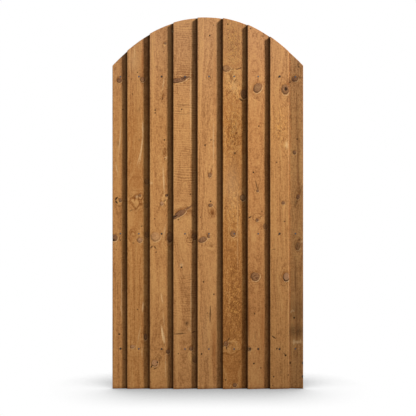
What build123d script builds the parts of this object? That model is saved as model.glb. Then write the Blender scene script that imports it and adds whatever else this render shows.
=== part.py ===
"""An arched featheredge garden gate, ledged and braced.

Nine tapered boards stand side by side, each lapping over its neighbour's thin edge. They are nailed
to three level ledges behind, with a diagonal brace between each pair of ledges, and their tops are
cut together to one curve.

Millimetres. +Z is up, +X is to the right of someone who faces the gate, and the boards face -Y.
The origin is on the ground line, under the middle of the gate's width and depth.
Across the boards, a point is (x, depth), and depth is measured forward from the ledges' faces.
"""

import os
from math import atan2, cos, hypot, radians, sin, tan

from build123d import *

# Outline
shoulder_height = 1524.0  # where the arch meets the gate's two side edges
arch_rise = 226.0  # from the shoulders up to the crown
arch_power = 2.14  # 2 makes the arch a parabola, and more makes it flatter at the crown
arch_points = 24  # the spans between the points that the arch's curve is drawn through
arch_trim = 50.0  # how far the boards stand above the crown before they are cut

# Boards, from the left
seen_widths = [70.0, 106.0, 111.0, 114.0, 119.0, 117.0, 106.0, 90.0, 67.0]
thick_edges = [11.0, 11.0, 14.0, 14.0, 14.0, 14.0, 14.0, 13.0, 12.0]
thin_edge = 5.0
lap = 32.0  # how far a thin edge runs under the next board

# Ledges and braces, of one sawn section
ledge_height = 75.0
ledge_thickness = 38.0
ledge_end_gap = 15.0  # from a ledge's end to the gate's side edge
top_ledge_drop = 52.0  # from the shoulders down to the top ledge's centre line
middle_ledge_line = 731.0  # height of the centre line
bottom_ledge_line = 188.0
brace_width = 75.0
brace_from_end = 100.0  # along a ledge, from its end to the brace's centre line

# Round wire nails
nail_diameter = 2.65
nail_head_diameter = 6.5
nail_head_thickness = 1.0
nail_point = 4.0
face_nail_length = 40.0
face_nail_insets = [37.5, 55.0, 56.5, 55.5, 54.5, 54.5, 50.5, 45.0, 30.5]  # from each seen left edge
head_proud = 0.5  # how far a face nail's head stands above its board
skew_nail_length = 50.0
skew_nail_angle = 35.0  # between a skew nail and the brace's back, in degrees
skew_nail_set = 22.0  # from the brace's end to where the nail enters its back
skew_nail_spacing = 40.0  # between the two nails in one end
skew_head_depth = 0.5  # how far a skew nail's head lies below the brace's back

# Worked out from the sizes above
gate_width = sum(seen_widths)
crown_height = shoulder_height + arch_rise
left_edges = [sum(seen_widths[:n]) - gate_width / 2 for n in range(len(seen_widths))]
ledge_length = gate_width - 2 * ledge_end_gap
ledge_lines = {
    "bottom": bottom_ledge_line,
    "middle": middle_ledge_line,
    "top": shoulder_height - top_ledge_drop,
}


def depth_at(x, first, second):
    """The depth at x of the straight line through two points."""
    return first[1] + (second[1] - first[1]) * (x - first[0]) / (second[0] - first[0])


def board_section(back_left, back_right, left_thickness, right_thickness):
    """A board's corners across its width. Its edges are square to its back."""
    run, fall = back_right[0] - back_left[0], back_left[1] - back_right[1]
    width = hypot(run, fall)
    out_x, out_depth = fall / width, run / width
    return {
        "back_left": back_left,
        "back_right": back_right,
        "front_right": (
            back_right[0] + right_thickness * out_x,
            back_right[1] + right_thickness * out_depth,
        ),
        "front_left": (
            back_left[0] + left_thickness * out_x,
            back_left[1] + left_thickness * out_depth,
        ),
    }


def lapped_section(number, below, back_right):
    """A board whose thin edge rests at back_right and whose thick edge rests on the board below.

    It bears on that board's face or on its thin edge, whichever lifts it more.
    """
    left = left_edges[number]
    on_face = depth_at(left, below["front_left"], below["front_right"])
    on_thin_edge = depth_at(left, back_right, below["front_right"])
    back_left = (left, max(on_face, on_thin_edge))
    return board_section(back_left, back_right, thick_edges[number], thin_edge)


def board_sections():
    """The first and last boards lie flat on the ledges, and the others lean on their neighbours."""
    last_number = len(seen_widths) - 1
    first = board_section((left_edges[0], 0), (left_edges[1] + lap, 0), thick_edges[0], thin_edge)
    last = board_section(
        (left_edges[last_number] - lap, 0), (gate_width / 2, 0), thin_edge, thick_edges[last_number]
    )
    sections = [first]
    for number in range(1, last_number - 1):
        sections.append(lapped_section(number, sections[-1], (left_edges[number + 1] + lap, 0)))
    closing_edge = left_edges[last_number]
    closing_depth = depth_at(closing_edge, last["front_left"], last["front_right"])
    sections.append(
        lapped_section(last_number - 1, sections[-1], (closing_edge, closing_depth))
    )
    return sections + [last]


sections = board_sections()
front_depth = max(depth for corners in sections for _, depth in corners.values())
ledge_face = (front_depth - ledge_thickness) / 2  # the y of the ledges' faces
back_face = ledge_face + ledge_thickness


def board_blank(corners):
    """A board of the section, long enough to be cut to the arch."""
    points = [(x, ledge_face - depth) for x, depth in corners.values()]
    outline = make_face(Polyline(*points, close=True))
    return extrude(outline, amount=crown_height + arch_trim, dir=(0, 0, 1))


def arch_height(x):
    """The height of the arch at x. It is flatter at its ends than an arc of a circle."""
    return crown_height - arch_rise * abs(2 * x / gate_width) ** arch_power


def arch_offcut():
    """What the saw takes away above the arch."""
    reach = gate_width / 2 + arch_trim
    across = [reach * (2 * n / arch_points - 1) for n in range(arch_points + 1)]
    cut = Spline(*[(x, arch_height(x)) for x in across])
    top = crown_height + 2 * arch_trim
    rest = Polyline(cut @ 1, (reach, top), (-reach, top), cut @ 0)
    above = make_face(Plane.XZ * (cut + rest))
    return extrude(above, amount=front_depth + ledge_thickness, both=True)


def nail(length, top, direction):
    """A round wire nail whose head's top is centred on a point, driven in a direction."""
    head_radius, shank_radius = nail_head_diameter / 2, nail_diameter / 2
    outline = Polyline(
        (0, 0),
        (head_radius, 0),
        (head_radius, nail_head_thickness),
        (shank_radius, nail_head_thickness),
        (shank_radius, length - nail_point),
        (0, length),
        close=True,
    )
    upright = revolve(make_face(Plane.XZ * outline), Axis.Z)
    return Plane(origin=top, z_dir=direction).location * upright


def face_nails(number):
    """The board's nails, one into each ledge, square to the board's face."""
    left, right = sections[number]["front_left"], sections[number]["front_right"]
    run, fall = right[0] - left[0], left[1] - right[1]
    out_x, out_depth = fall / hypot(run, fall), run / hypot(run, fall)
    x = left_edges[number] + face_nail_insets[number]
    depth = depth_at(x, left, right)
    return [
        nail(
            face_nail_length,
            (x + head_proud * out_x, ledge_face - depth - head_proud * out_depth, line),
            (-out_x, out_depth, 0),
        )
        for line in ledge_lines.values()
    ]


def ledge(line):
    """A level rail behind the boards."""
    middle = Pos(0, (ledge_face + back_face) / 2, line)
    return middle * Box(ledge_length, ledge_thickness, ledge_height)


class BraceLine:
    """Where a brace's centre line meets the ledges below and above it."""

    def __init__(self, lower_line, upper_line):
        self.foot = (-ledge_length / 2 + brace_from_end, lower_line + ledge_height / 2)
        self.head = (ledge_length / 2 - brace_from_end, upper_line - ledge_height / 2)
        self.lean = atan2(self.head[1] - self.foot[1], self.head[0] - self.foot[0])


def brace(line):
    """A diagonal that rises from the hanging side, with level ends that butt the ledges."""
    half_cut = brace_width / 2 / sin(line.lean)
    outline = Polyline(
        (line.foot[0] - half_cut, line.foot[1]),
        (line.foot[0] + half_cut, line.foot[1]),
        (line.head[0] + half_cut, line.head[1]),
        (line.head[0] - half_cut, line.head[1]),
        close=True,
    )
    flat = extrude(make_face(Plane.XZ * outline), amount=ledge_thickness, dir=(0, 1, 0))
    return Pos(0, ledge_face, 0) * flat


def skew_nails(line):
    """Two nails through each end of a brace into its ledge, and the pockets that their heads sink in."""
    angle = radians(skew_nail_angle)
    head_radius = nail_head_diameter / 2
    sink = (head_radius * cos(angle) + skew_head_depth) / sin(angle)
    nails, pockets = [], []
    for end, way in ((line.foot, -1), (line.head, 1)):
        into = (0, -sin(angle), way * cos(angle))
        middle_x = end[0] - way * skew_nail_set / 2 / tan(line.lean)
        for side in (-1, 1):
            x = middle_x + side * skew_nail_spacing / 2
            top = (
                x,
                back_face + sink * into[1],
                end[1] - way * skew_nail_set + sink * into[2],
            )
            nails.append(nail(skew_nail_length, top, into))
            out = (0, -into[1], -into[2])
            bore = Cylinder(head_radius, 2 * sink, align=(Align.CENTER, Align.CENTER, Align.MIN))
            pockets.append(Plane(origin=top, z_dir=out).location * bore)
    return nails, pockets


def write(name, solids):
    """One STEP file for a named piece, or for a group of like fasteners."""
    shape = solids[0] if len(solids) == 1 else Compound(children=solids)
    shape.label = name
    export_step(shape, os.path.join("parts", name + ".step"))


def main():
    os.makedirs("parts", exist_ok=True)
    offcut = arch_offcut()
    nails_by_board = [face_nails(number) for number in range(len(seen_widths))]
    for number, corners in enumerate(sections):
        board = board_blank(corners) - offcut - nails_by_board[number]
        write(f"board_{number + 1}", [board])
        write(f"board_{number + 1}_nails", nails_by_board[number])

    braces = {
        "lower": BraceLine(ledge_lines["bottom"], ledge_lines["middle"]),
        "upper": BraceLine(ledge_lines["middle"], ledge_lines["top"]),
    }
    skews = []
    for name, line in braces.items():
        nails, pockets = skew_nails(line)
        skews += nails
        write(f"{name}_brace", [brace(line) - nails - pockets])
        write(f"{name}_brace_nails", nails)

    face = [one for nails in nails_by_board for one in nails]
    for name, line in ledge_lines.items():
        write(f"{name}_ledge", [ledge(line) - face - skews])

    print(f"gate {gate_width:.0f} wide, {crown_height:.0f} high, {back_face * 2:.1f} deep")
    print(f"front of the boards {front_depth:.1f} before the ledges")


main()
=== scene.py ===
# %% [markdown]
# # An arched featheredge gate
# The gate is made of rough-sawn softwood boards, each a long wedge in section, that lap like the
# slates of a roof. The CAD model gives their true shape and place. This script gives them what a
# sawmill and a year outdoors give: saw marks, grain that flows round its knots, stains, holes and
# worn corners. Everything is in metres, and sizes that people speak of in millimetres are written
# so, times MM.

# %% Load the CAD frame
from collections import namedtuple
from math import pi, radians, tan

import bmesh
import bpy
import numpy as np
from mathutils import Matrix, Vector


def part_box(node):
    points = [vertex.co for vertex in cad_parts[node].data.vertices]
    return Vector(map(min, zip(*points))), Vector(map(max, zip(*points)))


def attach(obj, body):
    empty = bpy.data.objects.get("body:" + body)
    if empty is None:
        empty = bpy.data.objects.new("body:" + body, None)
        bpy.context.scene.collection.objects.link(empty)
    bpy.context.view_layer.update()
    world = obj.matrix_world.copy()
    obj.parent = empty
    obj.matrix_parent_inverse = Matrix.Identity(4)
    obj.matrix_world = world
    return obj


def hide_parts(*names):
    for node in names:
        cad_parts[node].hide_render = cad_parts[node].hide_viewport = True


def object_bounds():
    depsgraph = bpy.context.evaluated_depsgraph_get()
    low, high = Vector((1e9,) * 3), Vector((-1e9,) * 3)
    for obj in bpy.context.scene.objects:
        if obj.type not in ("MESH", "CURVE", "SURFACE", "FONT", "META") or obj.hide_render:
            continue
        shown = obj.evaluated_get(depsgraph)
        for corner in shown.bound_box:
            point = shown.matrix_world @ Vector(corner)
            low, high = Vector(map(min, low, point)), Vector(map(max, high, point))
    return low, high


MM = 0.001
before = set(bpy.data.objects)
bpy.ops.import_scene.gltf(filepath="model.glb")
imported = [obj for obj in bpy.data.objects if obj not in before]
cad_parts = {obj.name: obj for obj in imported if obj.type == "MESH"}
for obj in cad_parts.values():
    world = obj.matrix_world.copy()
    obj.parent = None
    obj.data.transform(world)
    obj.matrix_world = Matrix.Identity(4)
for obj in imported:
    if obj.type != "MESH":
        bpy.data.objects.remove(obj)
cad_low, cad_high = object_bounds()
print("CAD box, metres:", [round(v, 4) for v in cad_low], [round(v, 4) for v in cad_high])

# %% [markdown]
# ## The camera
# The photograph was taken square to the gate, with the lens level and opposite the middle of the
# picture. A far edge of the boards' feet rises by under one pixel against a near edge, which puts
# the camera about three and a half metres away. The gate's two side edges and its foot, found on
# the photograph, then give the scale of the picture, and with it the camera's height and angle.

# %% Camera from the photograph's scale
picture_side = 416  # pixels
left_column, right_column = 112.4, 303.2  # the gate's side edges
ground_row = 388.7  # the boards' feet
camera_distance = 3.5  # from the fronts of the side edges
sensor_width = 36  # mm
edge_board = 11.5 * MM  # the mean thickness of the boards at the side edges

ledge_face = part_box("middle_ledge")[0].y
picture_middle = picture_side / 2
middle_column = (left_column + right_column) / 2
pixel = (cad_high.x - cad_low.x) / (right_column - left_column)  # its size at the side edges


def on_gate(column, row):
    """The x and z on the boards that the photograph shows at a pixel."""
    return (column - middle_column) * pixel, (ground_row - row) * pixel


camera_data = bpy.data.cameras.new("camera")
camera = bpy.data.objects.new("camera", camera_data)
bpy.context.scene.collection.objects.link(camera)
aim_x, aim_z = on_gate(picture_middle, picture_middle)
camera.location = (aim_x, ledge_face - edge_board - camera_distance, aim_z)
camera.rotation_euler = (pi / 2, 0, 0)
camera_data.sensor_width = sensor_width
camera_data.lens = sensor_width * camera_distance / (picture_side * pixel)
bpy.context.scene.camera = camera
print("lens, mm:", round(camera_data.lens, 1), "height, m:", round(aim_z, 3))

# %% [markdown]
# ## Small helpers
# A material is a graph of nodes. One function adds a node, sets its values and joins its inputs,
# so that each line below reads as one step of the recipe. Colours are written as people know them,
# as hex values, and turned to the linear light that the renderer counts in. Shapes are made with
# the operators of bmesh, and one function turns what they made into an object.

# %% Helpers for colours, nodes and objects


def linear(hex_colour):
    """An sRGB hex colour as linear red, green, blue and full alpha."""
    parts = [int(hex_colour[i : i + 2], 16) / 255 for i in (1, 3, 5)]
    return [c / 12.92 if c <= 0.04045 else ((c + 0.055) / 1.055) ** 2.4 for c in parts] + [1.0]


def add(tree, kind, inputs=None, **settings):
    """Adds a node. An input is a value, a socket, or a node whose first live output is joined."""
    node = tree.nodes.new(kind)
    for name, value in settings.items():
        setattr(node, name, value)
    for name, value in (inputs or {}).items():
        if isinstance(value, bpy.types.Node):
            value = next(socket for socket in value.outputs if socket.enabled)
        if isinstance(value, bpy.types.NodeSocket):
            tree.links.new(value, node.inputs[name])
        else:
            node.inputs[name].default_value = value
    return node


def new_material(name):
    """An empty material and its tree."""
    material = bpy.data.materials.new(name)
    material.use_nodes = True
    material.node_tree.nodes.clear()
    return material, material.node_tree


def object_from(bm, name):
    """Turns a finished bmesh into an object of the scene."""
    mesh = bpy.data.meshes.new(name)
    bm.to_mesh(mesh)
    bm.free()
    made = bpy.data.objects.new(name, mesh)
    bpy.context.scene.collection.objects.link(made)
    return made


# %% [markdown]
# ## What each board looks like
# No two boards come from the same part of a log. A board sawn near the middle shows arches, and
# one sawn further out shows straight lines. The pith is the log's centre: how far to the side of
# the board's left edge it lies, and how far behind its face, decides the pattern. Where the saw was
# blunt or the grain curly, the face is rough.

# %% The character of each board
Stock = namedtuple("Stock", "colour pith behind rough")  # pith and behind in millimetres
stock = {
    "board_1": Stock("#c4884f", pith=160, behind=50, rough=0.2),
    "board_2": Stock("#ba7f46", pith=90, behind=24, rough=0.2),
    "board_3": Stock("#bd844d", pith=60, behind=40, rough=0.5),
    "board_4": Stock("#bf8751", pith=70, behind=60, rough=0.2),
    "board_5": Stock("#c58c55", pith=90, behind=60, rough=0.2),
    "board_6": Stock("#b3763d", pith=60, behind=40, rough=0.5),
    "board_7": Stock("#c1854e", pith=40, behind=60, rough=0.1),
    "board_8": Stock("#c28850", pith=-60, behind=40, rough=0.3),
    "board_9": Stock("#b9834f", pith=-220, behind=60, rough=0.5),
}

# %% [markdown]
# ## Knots, holes and stains
# Each mark was found on the photograph with a magnifier. It is given by the pixel of its middle,
# its width and height in millimetres, how strong it is, and how far it leans from upright, in
# degrees to the right. A mark with no more than four numbers is at full strength, and one with five
# is upright. A knot is where a branch grew, and the grain swims round it. A live knot was sound, and
# is paler. A swirl is grain that passed a knot now sawn away. A pin is a small hole or a speck of
# resin, a slit is a short crack, and a fibre is a splinter torn out, which shows fresh pale wood.
# Dark, pale, red, rough and saw are patches, and the last is where the saw's strokes still show.
# The two long fibres down board 8's right edge are a painted highlight, where its thin edge faces the
# light.

# %% The marks on the boards, from the top down
Mark = namedtuple("Mark", "kind column row wide tall strength lean", defaults=(1, 0))
seen = {
    "board_1": {
        "knot": [(119.3, 80.2, 20, 20, 0.9), (120.2, 200.3, 11, 16, 1, -15), (114.6, 237.7, 24, 28)],
        "swirl": [(118.5, 201, 30, 44)],
        "pin": [
            (122.8, 109.4, 7, 7), (113.6, 240.2, 10, 9, 0.9), (120.4, 240.2, 7, 7, 0.8),
            (116.4, 249.8, 6, 6, 0.6), (113.8, 355, 6, 6, 0.6), (124.3, 359.8, 6, 6, 0.6),
        ],
        "hole": [(119.1, 334.3, 9, 9)],
        "slit": [(116.3, 198.5, 8, 18, 1, 42), (116.3, 202.1, 8, 18, 1, -42)],
        "fibre": [
            (119.8, 140, 6, 150, 0.8, 5), (116.5, 168, 5, 60, 0.8, -12), (121.4, 291, 5, 270, 0.6),
            (121.2, 310, 6, 40, 0.7, -10),
        ],
        "dark": [(118, 143.5, 14, 30, 0.4), (119.5, 206, 12, 12, 0.5)],
    },
    "board_2": {
        "knot": [
            (142.6, 79.4, 20, 22, 0.8), (147, 181.3, 20, 24, 0.5), (140, 195.2, 12, 13, 0.8),
            (146.4, 205.2, 18, 20, 0.3), (147, 234.5, 20, 24, 0.5), (145.6, 336.6, 14, 26, 0.9),
        ],
        "live": [(139.7, 240, 20, 19), (132.6, 346.4, 18, 14, 0.9)],
        "swirl": [(136.2, 201, 84, 92, 1.1), (132, 232.6, 34, 40, 0.7)],
        "pin": [
            (141.3, 51.5, 7, 7, 0.4), (137.4, 72.4, 7, 7), (128.9, 76.6, 6, 6, 0.7),
            (131.5, 79.4, 6, 6, 0.8), (132.5, 94.3, 7, 7, 0.8), (130.1, 162.5, 6, 6, 0.6),
            (141.7, 226.2, 8, 8, 0.8), (129.1, 239, 6, 6, 0.6), (133.3, 243.1, 7, 7, 0.7),
            (137.6, 309.5, 7, 7, 0.9),
        ],
        "slit": [(131, 210.5, 6, 24, 0.5, 65)],
        "fibre": [
            (134.6, 52, 5, 60, 0.5), (142.6, 128, 7, 60, 0.9), (141.5, 148, 6, 150, 1, 7),
            (139, 158, 4, 70, 0.7, 14), (142.8, 307, 8, 44, 0.8, 5), (139, 335, 5, 70, 0.5, 10),
            (142, 352, 5, 60, 0.6),
        ],
        "dark": [(139.3, 109.6, 12, 24, 0.4), (139.7, 140, 8, 12, 0.6)],
        "pale": [(133.6, 62, 46, 100, 0.3), (137, 196.6, 14, 12, 0.9)],
        "red": [(142.6, 62, 20, 150, 0.8), (136, 165, 140, 700, 0.42)],
    },
    "board_3": {
        "knot": [
            (165.4, 43.2, 11, 11), (166.7, 195.3, 12, 12), (169.8, 237, 24, 42, 0.6),
            (168, 351.5, 16, 17),
        ],
        "live": [(161.8, 203.3, 14, 16), (155.6, 236.5, 36, 36, 0.6), (154.7, 362.6, 26, 27, 0.8)],
        "swirl": [
            (164.5, 46, 24, 44, 0.8), (163, 97, 22, 60), (164.5, 152, 24, 60, 1.2),
            (164.5, 199, 30, 50, 1.3), (168, 240, 46, 90), (164.2, 343.5, 12, 16),
            (157, 361, 52, 60, 0.6),
        ],
        "pin": [
            (163.5, 51.8, 7, 7, 0.7), (162.5, 99, 6, 10, 0.7), (164.5, 140, 8, 8),
            (167.2, 195, 8, 9, 0.9), (154.6, 218.7, 7, 7, 0.8), (156.2, 252.1, 7, 7, 0.9),
            (157.4, 362, 8, 8),
        ],
        "hole": [(155.2, 110.3, 10, 8), (155.2, 113.2, 9, 7, 0.9)],
        "slit": [
            (164.6, 158.8, 5, 12, 0.8, 50), (165, 200.6, 5, 18, 0.7, 50), (151.6, 247, 7, 20, 0.75, 45),
            (155.2, 247.4, 7, 22, 0.65, -40), (151.6, 366.3, 6, 18, 1, 25),
            (155.2, 368.2, 5, 18, 0.8, 75),
        ],
        "fibre": [
            (163.4, 84, 5, 60, 0.6, 8), (163.7, 181, 6, 118, 0.9, -3), (161.9, 298, 6, 54, 0.8, -10),
            (163.6, 318, 4, 90, 0.6, -6), (162.6, 334, 8, 70, 1.4, -8), (164.8, 340, 4, 60, 0.8, -4),
            (165.6, 365, 5, 110, 0.6),
        ],
        "dark": [(156.8, 67, 14, 10, 0.5), (160.9, 70.6, 14, 10, 0.6), (160.4, 357.5, 10, 12, 0.6)],
        "pale": [(166.1, 157.7, 12, 10), (151.5, 183.2, 12, 12, 0.9), (164.5, 232, 8, 60, 0.7, 8)],
    },
    "board_4": {
        "knot": [
            (184.3, 78.2, 12, 44, 1, 72), (178.4, 80.6, 18, 58, 0.95, 80),
            (187.5, 208.4, 8, 54, 0.7, 58), (180.1, 213.4, 22, 50, 1, 58), (176, 216.6, 15, 26, 1, 55),
            (194.4, 236.5, 22, 26, 0.6), (191.3, 348.4, 16, 16, 0.9), (195, 359.5, 24, 26, 0.5),
        ],
        "swirl": [
            (183, 79, 110, 44, 0.6), (182, 212.5, 110, 60, 0.5), (191, 238, 50, 60), (192, 358, 40, 60),
        ],
        "pin": [
            (181.7, 109.4, 8, 8, 0.9), (190.3, 194.4, 7, 7, 0.9), (178.5, 219.6, 8, 8, 0.8),
            (178.4, 353.3, 7, 7, 0.8),
        ],
        "hole": [(181.4, 267.3, 8, 8)],
        "slit": [
            (190, 77.4, 5, 22, 0.4, 90), (184, 78.6, 6, 24, 0.6, 70), (182.5, 105.2, 4, 84, 0.45, 88),
            (183.2, 107, 4, 76, 0.35, 93), (178.4, 111.6, 4, 44, 0.45, 94),
            (188.4, 113.4, 4, 30, 0.4, 78), (180.3, 114.4, 4, 56, 0.5, 96),
            (175.6, 216.2, 7, 20, 1, 60), (193.6, 332, 6, 20, 0.8, 70), (180, 333.5, 7, 60, 0.65, 87),
        ],
        "fibre": [(190.6, 100, 7, 400, 0.5), (191, 300, 6, 300, 0.5)],
        "dark": [(186.8, 323.2, 20, 22), (182, 330.5, 40, 12, 0.4)],
        "pale": [(181.4, 265, 16, 18, 0.8), (189.5, 329, 14, 20, 0.5)],
        "saw": [
            (184, 33, 220, 130, 0.8), (184, 111, 220, 66, 0.95), (184, 130, 220, 760, 0.5),
            (184, 166, 220, 230, 0.9), (184, 240, 220, 34, 0.8), (184, 297, 220, 220, 0.6),
        ],
    },
    "board_5": {
        "knot": [
            (210, 175, 14, 20, 0.9, 10), (210.6, 205.2, 17, 13), (208.6, 236.4, 16, 9, 1, 70),
            (202.8, 239.5, 21, 36, 0.9, 66),
        ],
        "swirl": [
            (209.5, 78, 20, 22, 1.2), (211, 171, 24, 50), (212, 212, 40, 66, 0.8),
            (211, 244, 40, 70, 0.8),
        ],
        "pin": [
            (213.2, 25.3, 6, 6, 0.7), (209.7, 35.8, 8, 8), (211, 140, 7, 7), (213.9, 140.8, 6, 6, 0.5),
            (209.4, 143, 6, 6, 0.5), (205, 145.3, 9, 9), (210.4, 201.4, 8, 8, 0.9),
            (200.5, 217.3, 7, 7, 0.8), (203.4, 281.7, 8, 8), (213.9, 294.3, 8, 8, 0.9),
            (207.4, 312.8, 7, 7, 0.7), (201.5, 353.6, 9, 9),
        ],
        "slit": [(210.1, 314.5, 5, 92, 1, 1)],
        "fibre": [(213.4, 143, 6, 200, 0.6)],
        "dark": [(212.3, 166.3, 8, 12, 0.5), (212.5, 213, 16, 30, 0.6), (213, 350, 6, 60, 0.4)],
        "pale": [(205, 335, 40, 260, 0.12)],
        "red": [(214.5, 75, 12, 420, 0.5), (212.5, 212.5, 30, 44, 1.2), (214.2, 347, 22, 270)],
    },
    "board_6": {
        "knot": [
            (226.3, 68.7, 32, 26, 0.7), (244, 93.6, 27, 38, 0.8), (242.9, 197.6, 22, 26, 0.9),
            (233.2, 233.6, 22, 25, 0.75), (225.8, 343.2, 18, 22, 0.8), (234.8, 384.7, 17, 17),
        ],
        "swirl": [(231, 76, 70, 90, 0.9), (241, 93, 64, 80, 0.9), (230, 347, 90, 80, 0.7)],
        "pin": [
            (227.8, 24.7, 8, 8), (228, 30, 6, 6, 0.5), (240.5, 68, 8, 8, 0.8),
            (234.7, 153.3, 11, 11, 0.8), (225.4, 379.5, 8, 8, 0.9),
        ],
        "slit": [
            (238.3, 69, 6, 26, 0.6, 75), (232.5, 69.6, 6, 16, 0.5, 85), (235, 81, 6, 26, 0.6, 30),
            (240.8, 99.8, 8, 24, 0.8, -50), (228.4, 339.2, 6, 26, 0.7, 32),
            (229.8, 343, 5, 22, 0.5, 80), (222.8, 346, 6, 16, 0.6, 60), (226.4, 347.4, 7, 18, 0.8, -10),
        ],
        "fibre": [(237.5, 230, 6, 400, 0.3)],
        "dark": [
            (233, 45, 100, 260, 0.3), (235, 132, 60, 260, 0.35), (229, 250, 34, 8, 0.5),
            (239.8, 361.7, 12, 12, 0.6),
        ],
        "pale": [(234, 86, 40, 60, 0.3), (232, 185, 90, 240, 0.35)],
        "rough": [
            (233, 45, 110, 240, 0.85), (232, 90, 110, 130), (233, 134, 110, 270, 1.1),
            (233, 210, 110, 270, 0.8), (233, 300, 110, 380),
        ],
    },
    "board_7": {
        "knot": [
            (257.6, 87.8, 31, 43, 0.9, 32), (257.6, 190.9, 11, 11), (257, 219.9, 12, 14),
            (265.3, 226.3, 20, 24, 0.5), (255.1, 276.3, 35, 34, 0.8), (249.2, 348.5, 14, 18, 0.8),
        ],
        "swirl": [(257, 96, 44, 40, 0.8), (256.5, 218, 50, 40, 0.8), (255, 280, 50, 40, 0.7)],
        "pin": [
            (250.4, 29.1, 8, 8, 0.8), (258.6, 126.3, 8, 8, 0.8), (253.2, 172.4, 8, 8),
            (261.8, 211.6, 7, 7, 0.7), (254.4, 313.6, 8, 8, 0.8), (249.7, 348.5, 11, 11, 0.9),
            (253.8, 363.3, 9, 9), (260.8, 367.8, 8, 8, 0.8),
        ],
        "slit": [
            (256.4, 185.2, 5, 54, 0.7, -15), (261, 216.5, 5, 16, 0.6, 60),
            (249.6, 217.3, 6, 20, 0.9, 60), (250, 348.6, 5, 26, 0.6, 90),
        ],
        "dark": [
            (263.5, 33.6, 10, 10, 0.7), (262.5, 36.1, 14, 8, 0.7), (248, 322, 9, 270, 0.55),
            (255.4, 335.5, 8, 44, 0.4),
        ],
        "red": [(248.6, 318, 10, 160), (262.5, 325, 26, 330, 0.7), (259.5, 352, 20, 30, 0.7)],
    },
    "board_8": {
        "knot": [(285.3, 89.2, 31, 40, 0.8), (283.2, 202.7, 14, 14)],
        "live": [(286.4, 276.8, 28, 34, 1.2)],
        "swirl": [(286, 93, 40, 60), (285.5, 146, 26, 50), (285, 278, 46, 60, 0.8)],
        "pin": [
            (272.3, 58.2, 6, 6, 0.6), (285.8, 89, 15, 19, 0.9), (276.5, 162.5, 7, 7, 0.8),
            (284.3, 221.5, 8, 8, 0.8), (276.6, 348.4, 8, 10, 0.8, 30), (288.3, 375, 6, 8, 0.8),
            (273.5, 376.2, 8, 8, 0.9), (272.5, 385, 9, 6, 0.7),
        ],
        "hole": [(285.6, 355.2, 9, 10)],
        "slit": [
            (278.6, 77.4, 5, 12, 0.8, 40), (278.6, 234.6, 5, 12, 0.8, 40),
            (273.6, 249.2, 5, 22, 0.5, 85), (273.6, 337, 6, 30, 0.9, -54),
            (284.2, 353.6, 5, 16, 0.6, -50),
        ],
        # the two long fibres down the right edge are a painted highlight, where the thin edge faces the
        # key light
        "fibre": [(288.7, 140, 4, 420, 0.35), (288.7, 310, 4, 620, 0.35)],
        "dark": [(281, 372, 12, 16, 0.5)],
        "pale": [(286.7, 145, 12, 34)],
        "red": [(287.3, 229, 12, 34, 0.8)],
        "rough": [(280, 128, 70, 180, 0.9)],
    },
    "board_9": {
        "knot": [
            (294.8, 78.8, 26, 21, 0.9), (294.6, 152.2, 15, 17), (298.2, 196.6, 14, 22, 0.9, 20),
            (298, 246, 20, 32, 0.5, 10),
        ],
        "swirl": [(297, 198, 34, 60, 0.7), (297.5, 244, 44, 80, 0.7)],
        "pin": [
            (298.6, 66.8, 8, 8, 0.7), (290, 82.4, 8, 8, 0.7), (297, 139.2, 8, 8, 0.8),
            (299.1, 240, 8, 8, 0.8), (290.2, 363, 8, 12, 0.9),
        ],
        "hole": [(294.2, 317.9, 9, 9), (302.6, 363, 8, 12), (302.6, 376.5, 8, 12)],
        "fibre": [
            (301.2, 150, 4, 500, 0.5), (293.5, 310.5, 6, 14, 1, -30), (291.5, 311.6, 7, 16, 1, 30),
            (300.8, 341.2, 7, 20, 0.9), (294, 342, 8, 26), (297.4, 342.6, 6, 18, 0.7),
        ],
        "dark": [
            (298.5, 64, 10, 50, 0.6, 30), (299.4, 77.6, 30, 10, 0.6), (292, 81, 30, 10, 0.5),
            (297.8, 150, 6, 420, 0.4), (300.5, 190, 8, 50, 0.5, 25), (296, 203, 14, 44, 0.7, 20),
            (297.2, 246, 28, 44, 0.5, 10), (295.5, 280, 8, 160, 0.5), (296.5, 311, 120, 130, 0.42),
            (296.5, 331, 110, 76, 0.7),
        ],
        "pale": [(301.6, 241.8, 9, 18, 1, 30), (299.5, 249, 6, 12, 0.6, 30), (297.5, 342, 46, 12)],
        "red": [(291.1, 315.5, 12, 12, 0.6)],
    },
}
marks = {
    node: [Mark(kind, *numbers) for kind, found in kinds.items() for numbers in found]
    for node, kinds in seen.items()
}
print("marks:", sum(len(found) for found in marks.values()))

# %% [markdown]
# ## Reading the boards' shape
# Each board's own solid already has the right wedge, tilt and arch, so its measurements are read
# from it: the four corners of its foot, and the heights of its top. The arch is the same curve in
# the CAD source, a little flatter at its ends than an arc of a circle, as a bent batten gives.

# %% Corners and arch from the CAD solids
hair = 0.1 * MM  # places nearer than this count as level


def solid_points(node):
    """The points of a node's CAD solid."""
    return [v.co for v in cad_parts[node].data.vertices]


def foot_corners(node):
    """A board's foot: its left and right corners, front then back, as vectors."""
    feet = {tuple(round(c, 6) for c in place) for place in solid_points(node) if place.z < hair}
    left_to_right = sorted(feet)
    left = sorted(left_to_right[:2], key=lambda corner: corner[1])
    right = sorted(left_to_right[-2:], key=lambda corner: corner[1])
    return [Vector(corner) for corner in left + right]


half_width = cad_high.x
shoulder = max(place.z for place in solid_points("board_1") if place.x < hair - half_width)
rise = cad_high.z - shoulder
arch_power = 2.14  # as in the CAD source


def arch_height(x):
    """The height of the arch above the ground at x."""
    return cad_high.z - rise * abs(x / half_width) ** arch_power


top_miss = 0.0
for node in stock:
    edge = foot_corners(node)[0].x
    top = max(place.z for place in solid_points(node) if abs(place.x - edge) < 0.5 * MM)
    top_miss = max(top_miss, abs(top - arch_height(edge)))
print("shoulder, m:", round(shoulder, 3), "curve misses the solids by, mm:", round(top_miss / MM, 2))

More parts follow.
